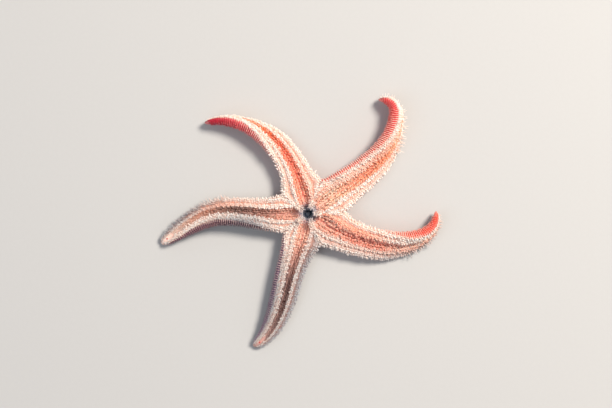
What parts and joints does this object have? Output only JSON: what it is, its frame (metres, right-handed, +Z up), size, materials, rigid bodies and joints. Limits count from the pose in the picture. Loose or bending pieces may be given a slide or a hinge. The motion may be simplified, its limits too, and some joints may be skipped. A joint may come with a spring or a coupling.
{
  "type": "common starfish",
  "caption": "Life-size starfish lying on its back, mouth side up, with curling spiny arms and open grooves of tube feet.",
  "frame": {"origin": "middle of the disc's flat underside, on the ground below the mouth", "axes": "+Z up, from the back on the ground towards the mouth; +X towards the right-hand arm; +Y between the two upper arms"},
  "size_m": [0.1214, 0.1096, 0.012],
  "materials": {
    "skin": "moist, pebbled",
    "tube_feet": "wet, soft",
    "mouth": "wet",
    "jaws": "chalky",
    "sieve_plate": "chalky, furrowed",
    "tip_plates": "chalky",
    "eyespots": "wet"
  },
  "bodies": {
    "root": {"disc": "skin", "mouth": "mouth", "sieve_plate": "sieve_plate", "jaw_ea": "jaws", "jaw_ab": "jaws", "jaw_bc": "jaws", "jaw_cd": "jaws", "jaw_de": "jaws", "arm_a_base": "skin", "arm_a_middle": "skin", "arm_a_end": "skin", "arm_a_tip": "tip_plates", "tube_feet_a": "tube_feet", "eyespot_a": "eyespots", "arm_b_base": "skin", "arm_b_middle": "skin", "arm_b_end": "skin", "arm_b_tip": "tip_plates", "tube_feet_b": "tube_feet", "eyespot_b": "eyespots", "arm_c_base": "skin", "arm_c_middle": "skin", "arm_c_end": "skin", "arm_c_tip": "tip_plates", "tube_feet_c": "tube_feet", "eyespot_c": "eyespots", "arm_d_base": "skin", "arm_d_middle": "skin", "arm_d_end": "skin", "arm_d_tip": "tip_plates", "tube_feet_d": "tube_feet", "eyespot_d": "eyespots", "arm_e_base": "skin", "arm_e_middle": "skin", "arm_e_end": "skin", "arm_e_tip": "tip_plates", "tube_feet_e": "tube_feet", "eyespot_e": "eyespots"}
  },
  "joints": []
}
